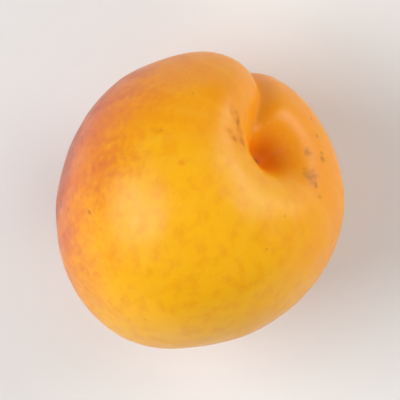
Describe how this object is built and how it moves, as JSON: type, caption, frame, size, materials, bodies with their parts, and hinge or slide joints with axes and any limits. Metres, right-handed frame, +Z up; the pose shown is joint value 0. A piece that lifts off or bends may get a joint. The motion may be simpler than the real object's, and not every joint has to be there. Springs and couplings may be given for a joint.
{
  "type": "apricot",
  "caption": "Ripe whole apricot with a deep stem cavity, a suture crease between two lobes and no stalk, lying tilted on a small flat spot.",
  "frame": {"origin": "on the surface that the fruit rests on, below the middle of its outline seen from above", "axes": "+Z up, with the flat spot facing -Z. The stem end leans 42 degrees from +Z toward the heading 32.5 degrees from +X to +Y, and the suture runs from the stem cavity over the +Y side"},
  "size_m": [0.0486, 0.05, 0.0498],
  "materials": {
    "apricot_skin": "satin"
  },
  "bodies": {
    "root": {"apricot": "apricot_skin"}
  },
  "joints": []
}
